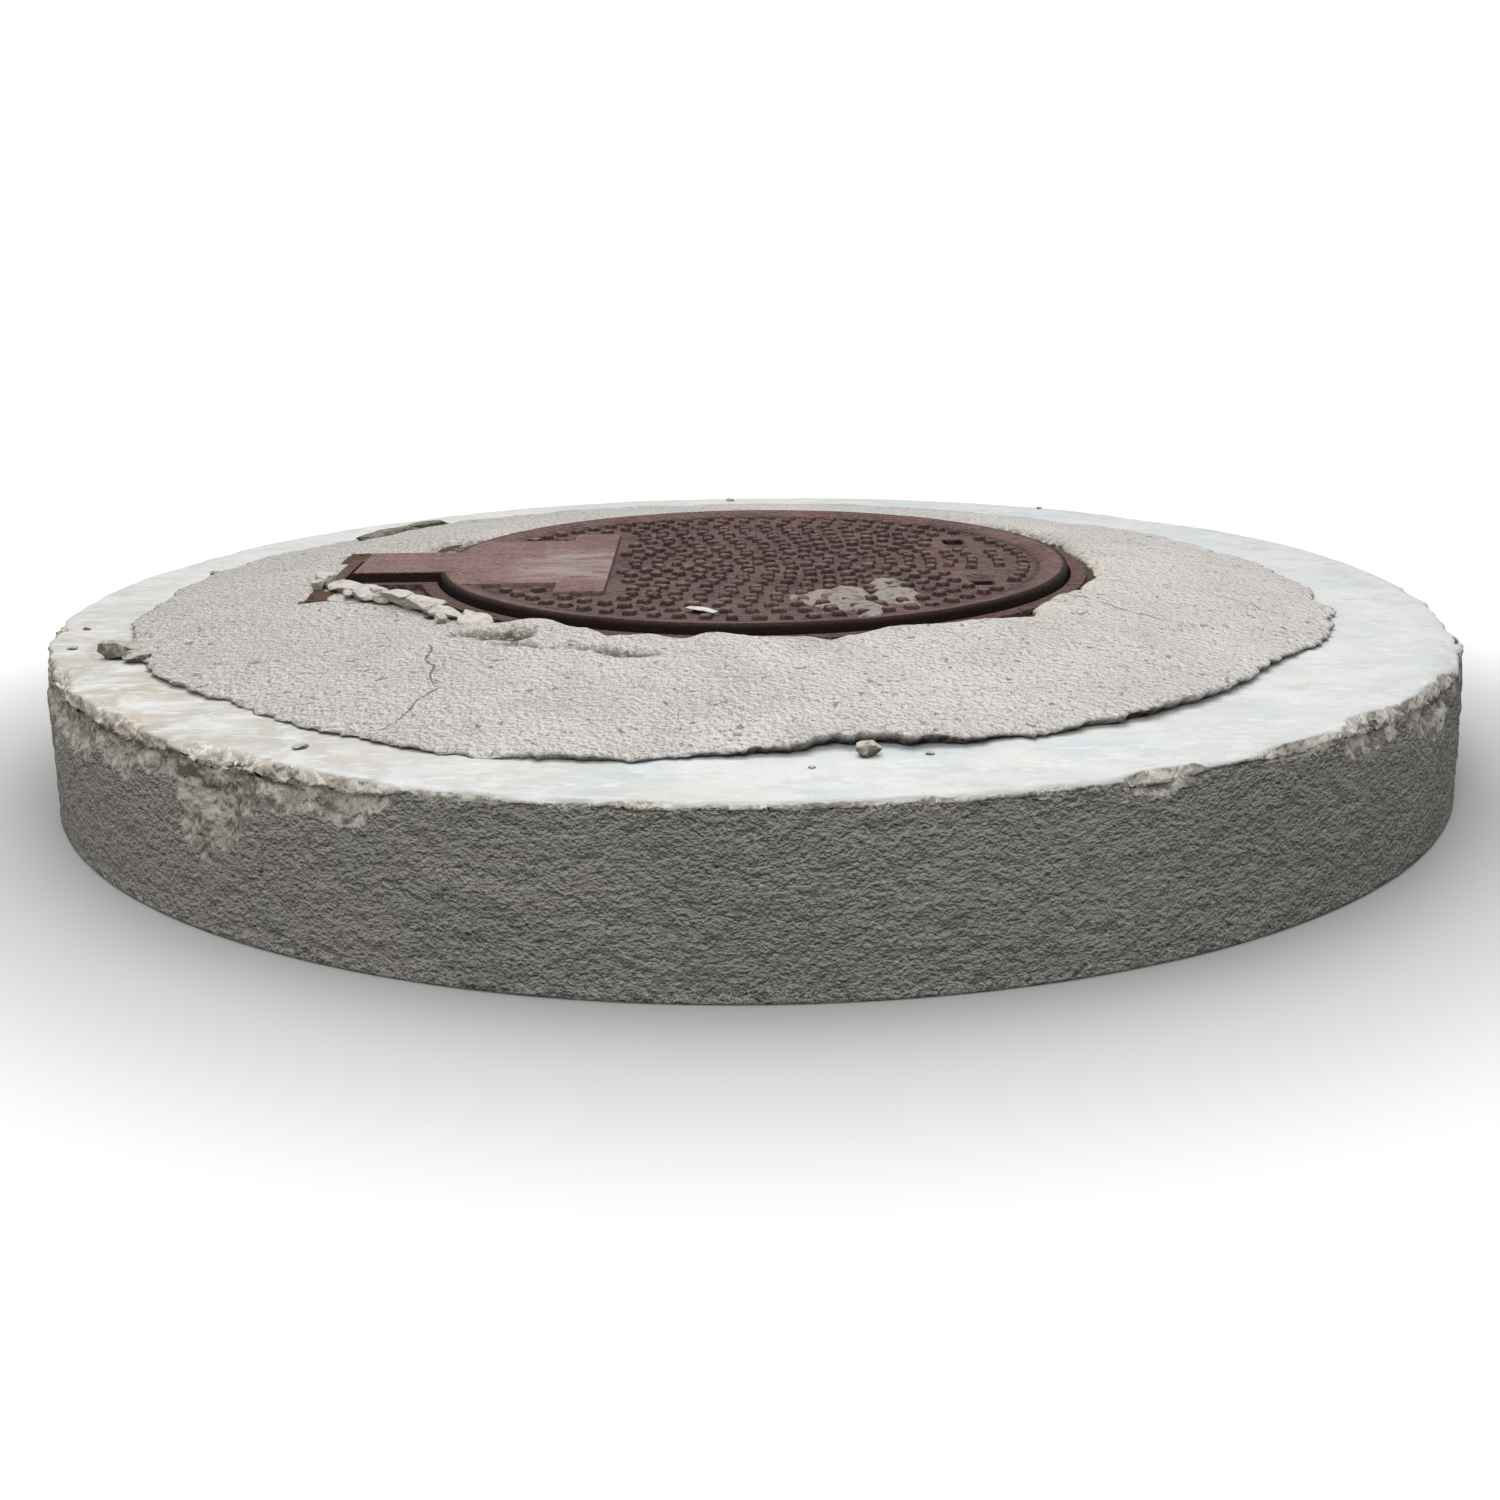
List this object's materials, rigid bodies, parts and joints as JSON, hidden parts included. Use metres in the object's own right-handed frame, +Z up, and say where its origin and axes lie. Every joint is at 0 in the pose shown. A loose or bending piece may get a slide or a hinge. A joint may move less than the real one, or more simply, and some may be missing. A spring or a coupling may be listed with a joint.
{
  "type": "manhole cover",
  "caption": "Round hinged iron manhole lid with a studded tread, in a ring frame bolted and mortared into a round concrete cover slab.",
  "frame": {"origin": "centre of the slab's underside, on the vertical axis of the opening", "axes": "+Z up, hinge at the -X side with its pin along Y, lifting pockets at the +X side"},
  "size_m": [1.4, 1.4, 0.191],
  "materials": {
    "concrete": "rough cast side, whitewashed top",
    "mortar": "floated, weathered",
    "spacer_mortar": "plain",
    "rusty_iron": "rust-brown, worn, dusty",
    "reinforcing_steel": "mill scale",
    "zinc_steel": "galvanised",
    "gasket_rubber": "matt",
    "plug_plastic": "matt"
  },
  "bodies": {
    "surround": {"cover_slab": "concrete", "rebar_bottom_hoops": "reinforcing_steel", "rebar_top_hoops": "reinforcing_steel", "rebar_radials": "reinforcing_steel", "rebar_links": "reinforcing_steel", "rebar_spacers": "spacer_mortar", "lifting_anchors": "zinc_steel", "lifting_plugs": "plug_plastic", "mortar_bed": "mortar", "levelling_shims": "zinc_steel", "mortar_haunch": "mortar", "frame": "rusty_iron", "anchor_studs": "zinc_steel", "anchor_washers": "zinc_steel", "anchor_nuts": "zinc_steel", "seat_gasket": "gasket_rubber", "hinge_pin": "zinc_steel", "hinge_roll_pins": "zinc_steel", "hinge_washers": "zinc_steel"},
    "lid": {"lid": "rusty_iron", "key_pans": "zinc_steel", "key_pan_bolts": "zinc_steel"}
  },
  "joints": [
    {"name": "lid_hinge", "type": "hinge", "parent": "surround", "child": "lid", "pos_m": [-0.375, 0, 0.165], "axis": [0, -1, 0], "range_deg": [0, 120]}
  ]
}
